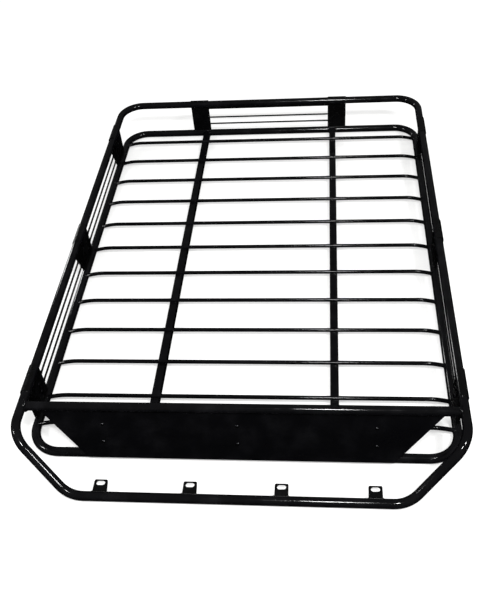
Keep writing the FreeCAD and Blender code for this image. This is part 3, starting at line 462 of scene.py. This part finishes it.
# One bead runs across each tab's foot, a little past its cheeks and lower beyond them, and one
# runs down each cheek, back from its top as it drops.
past_cheek, foot_back, crest_lift, end_drop = 0.003, 0.0004, 0.0002, 0.0012
cheek_out, cheek_start, cheek_run = 0.0006, 0.0006, 0.0035
cheek_top, cheek_drop = 0.0005, 0.0120
down = np.linspace(0, 1, 36)
fillets = []
for name in ["lamp_tab_%d" % (i + 1) for i in range(4)]:
    softened(name, 0.0004, plate_coat)
    low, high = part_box(name)
    along = np.linspace(low.x - past_cheek, high.x + past_cheek, 36)
    crest = np.abs(along - (low.x + high.x) / 2) < (high.x - low.x) / 2
    fillets.append(route(along, low.y - foot_back,
                         high.z + np.where(crest, crest_lift, -end_drop)))
    for edge in (low.x - cheek_out, high.x + cheek_out):
        fillets.append(route(edge, low.y + cheek_start + cheek_run * down,
                             high.z - cheek_top - cheek_drop * down))
weld_beads("lamp_tab_welds", fillets, outward=(0.0, 1.0, 0.6), thickness=0.0024, puddle=0.0045,
           closed=False, material=plate_coat)

# ------------------------------------------------------------------------------------------------
# Studio
# A plain white paper floor, lit a little from beneath so that shadows stay faint, under small
# softboxes, and the camera above the basket's front, a little to the right of its middle.
# ------------------------------------------------------------------------------------------------

paper = empty_material("matt white paper floor")
place = add_node(paper, "ShaderNodeTexCoord").outputs["Object"]
fibre = add_node(paper, "ShaderNodeTexNoise", {"Vector": place, "Scale": 1 / 0.05, "Detail": 4.0})
shade = add_node(paper, "ShaderNodeValToRGB", {"Fac": fibre.outputs["Fac"]})
for stop, white in zip(shade.color_ramp.elements, ("#c3c3c2", "#c6c6c5")):
    stop.color = linear(white)
shader = add_node(paper, "ShaderNodeBsdfPrincipled",
                  {"Base Color": shade.outputs["Color"], "Roughness": 0.9, "IOR": 1.4,
                   "Emission Color": linear("#ffffff"), "Emission Strength": 0.4})
add_node(paper, "ShaderNodeOutputMaterial", {"Surface": shader.outputs["BSDF"]})
paper_half = 30
sheet_corners = [(x * paper_half, y * paper_half, 0) for x, y in ((-1, -1), (1, -1), (1, 1), (-1, 1))]
mesh = bpy.data.meshes.new("floor")
mesh.from_pydata(sheet_corners, [], [(0, 1, 2, 3)])
mesh.materials.append(paper)
floor = bpy.data.objects.new("floor", mesh)
bpy.context.collection.objects.link(floor)
# Black flags keep the paper and the sky out of the gloss, so that only the softboxes glint in it.
floor.visible_glossy = False

# A dim grey scrim hangs over the whole set. Only the gloss sees it, as a faint sheen that gives
# the black coat its roundness from every side.
scrim_radius, scrim_hem = 20, 0.5
scrim_grey = empty_material("dim grey scrim")
shader = add_node(scrim_grey, "ShaderNodeEmission", {"Color": linear("#ffffff"), "Strength": 0.12})
add_node(scrim_grey, "ShaderNodeOutputMaterial", {"Surface": shader.outputs["Emission"]})
scrim_grey.cycles.emission_sampling = "NONE"
dome = bmesh.new()
bmesh.ops.create_icosphere(dome, subdivisions=4, radius=scrim_radius)
under = [vertex for vertex in dome.verts if vertex.co.z < scrim_hem]
bmesh.ops.delete(dome, geom=under, context="VERTS")
mesh = bpy.data.meshes.new("scrim")
dome.to_mesh(mesh)
dome.free()
mesh.materials.append(scrim_grey)
scrim = bpy.data.objects.new("scrim", mesh)
bpy.context.collection.objects.link(scrim)
scrim.visible_camera = False
scrim.visible_diffuse = False
scrim.visible_shadow = False

# Each softbox has its place, its two sides in metres and its watts, and faces the basket.
for name, place, size, power in (
        ("key softbox", (0.25, -1.95, 3.0), (0.28, 0.28), 60),
        ("right softbox", (1.45, -1.70, 2.7), (0.32, 0.32), 60),
        ("left softbox", (-2.6, -1.2, 2.0), (0.35, 0.35), 30),
        ("rear strip", (-4.4, 3.8, 1.3), (0.4, 1.4), 35)):
    lamp = bpy.data.lights.new(name, "AREA")
    lamp.shape = "RECTANGLE"
    lamp.size, lamp.size_y = size
    lamp.energy = power
    softbox = bpy.data.objects.new(name, lamp)
    softbox.matrix_world = (Matrix.Translation(place)
                            @ Vector(place).to_track_quat("Z", "Y").to_matrix().to_4x4())
    bpy.context.collection.objects.link(softbox)

# The plain view transform keeps the paper at white and the coat at black.
sky = bpy.data.worlds.new("white studio")
sky.use_nodes = True
sky.node_tree.nodes["Background"].inputs["Color"].default_value = linear("#ffffff")
sky.node_tree.nodes["Background"].inputs["Strength"].default_value = 0.84
bpy.context.scene.world = sky
sky.cycles_visibility.glossy = False
bpy.context.scene.view_settings.view_transform = "Standard"

heading, dip, roll = 0.15333, 0.79018, -0.1107
lens = bpy.data.cameras.new("camera")
lens.lens = 45.133
camera = bpy.data.objects.new("camera", lens)
camera.matrix_world = (Matrix.Translation((0.23413, -1.82839, 1.72721))
                       @ Matrix.Rotation(heading, 4, "Z")
                       @ Matrix.Rotation(math.pi / 2 - dip, 4, "X")
                       @ Matrix.Rotation(roll, 4, "Z"))
bpy.context.collection.objects.link(camera)
bpy.context.scene.camera = camera
